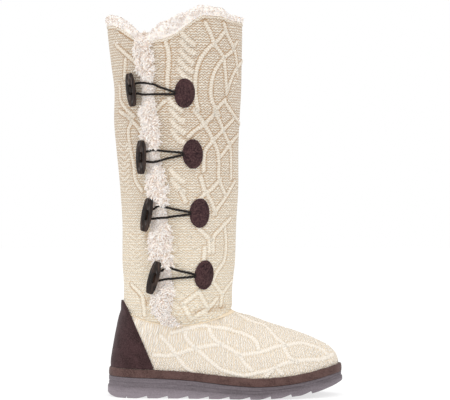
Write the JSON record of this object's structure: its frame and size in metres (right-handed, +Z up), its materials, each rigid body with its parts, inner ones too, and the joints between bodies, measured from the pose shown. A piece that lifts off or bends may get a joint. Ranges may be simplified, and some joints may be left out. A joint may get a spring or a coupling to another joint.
{
  "type": "tall knitted boot",
  "caption": "Tall cable-knit boot with a lapped shaft closed by horn toggles and cord loops, fleece trim, suede heel counter and a two-tier ripple sole.",
  "frame": {"origin": "on the floor under the middle of the heel, on the flat tip of the second land of the tread", "axes": "+X from heel to toe, +Y to the inner side of the foot, +Z up the leg"},
  "size_m": [0.2632, 0.1125, 0.4334],
  "materials": {
    "knit": "matte",
    "fleece": "matte",
    "suede": "matte",
    "rubber": "satin",
    "horn": "gloss",
    "cord": "satin"
  },
  "bodies": {
    "root": {"outsole": "rubber", "rand": "suede", "insole": "fleece", "upper": "knit", "heel_counter": "suede", "shaft": "knit", "collar_fleece": "fleece", "placket_fleece": "fleece", "patch_1": "suede", "patch_2": "suede", "patch_3": "suede", "patch_4": "suede", "toggle_1": "horn", "toggle_2": "horn", "toggle_3": "horn", "toggle_4": "horn", "cord_loop_1": "cord", "cord_loop_2": "cord", "cord_loop_3": "cord", "cord_loop_4": "cord"}
  },
  "joints": []
}
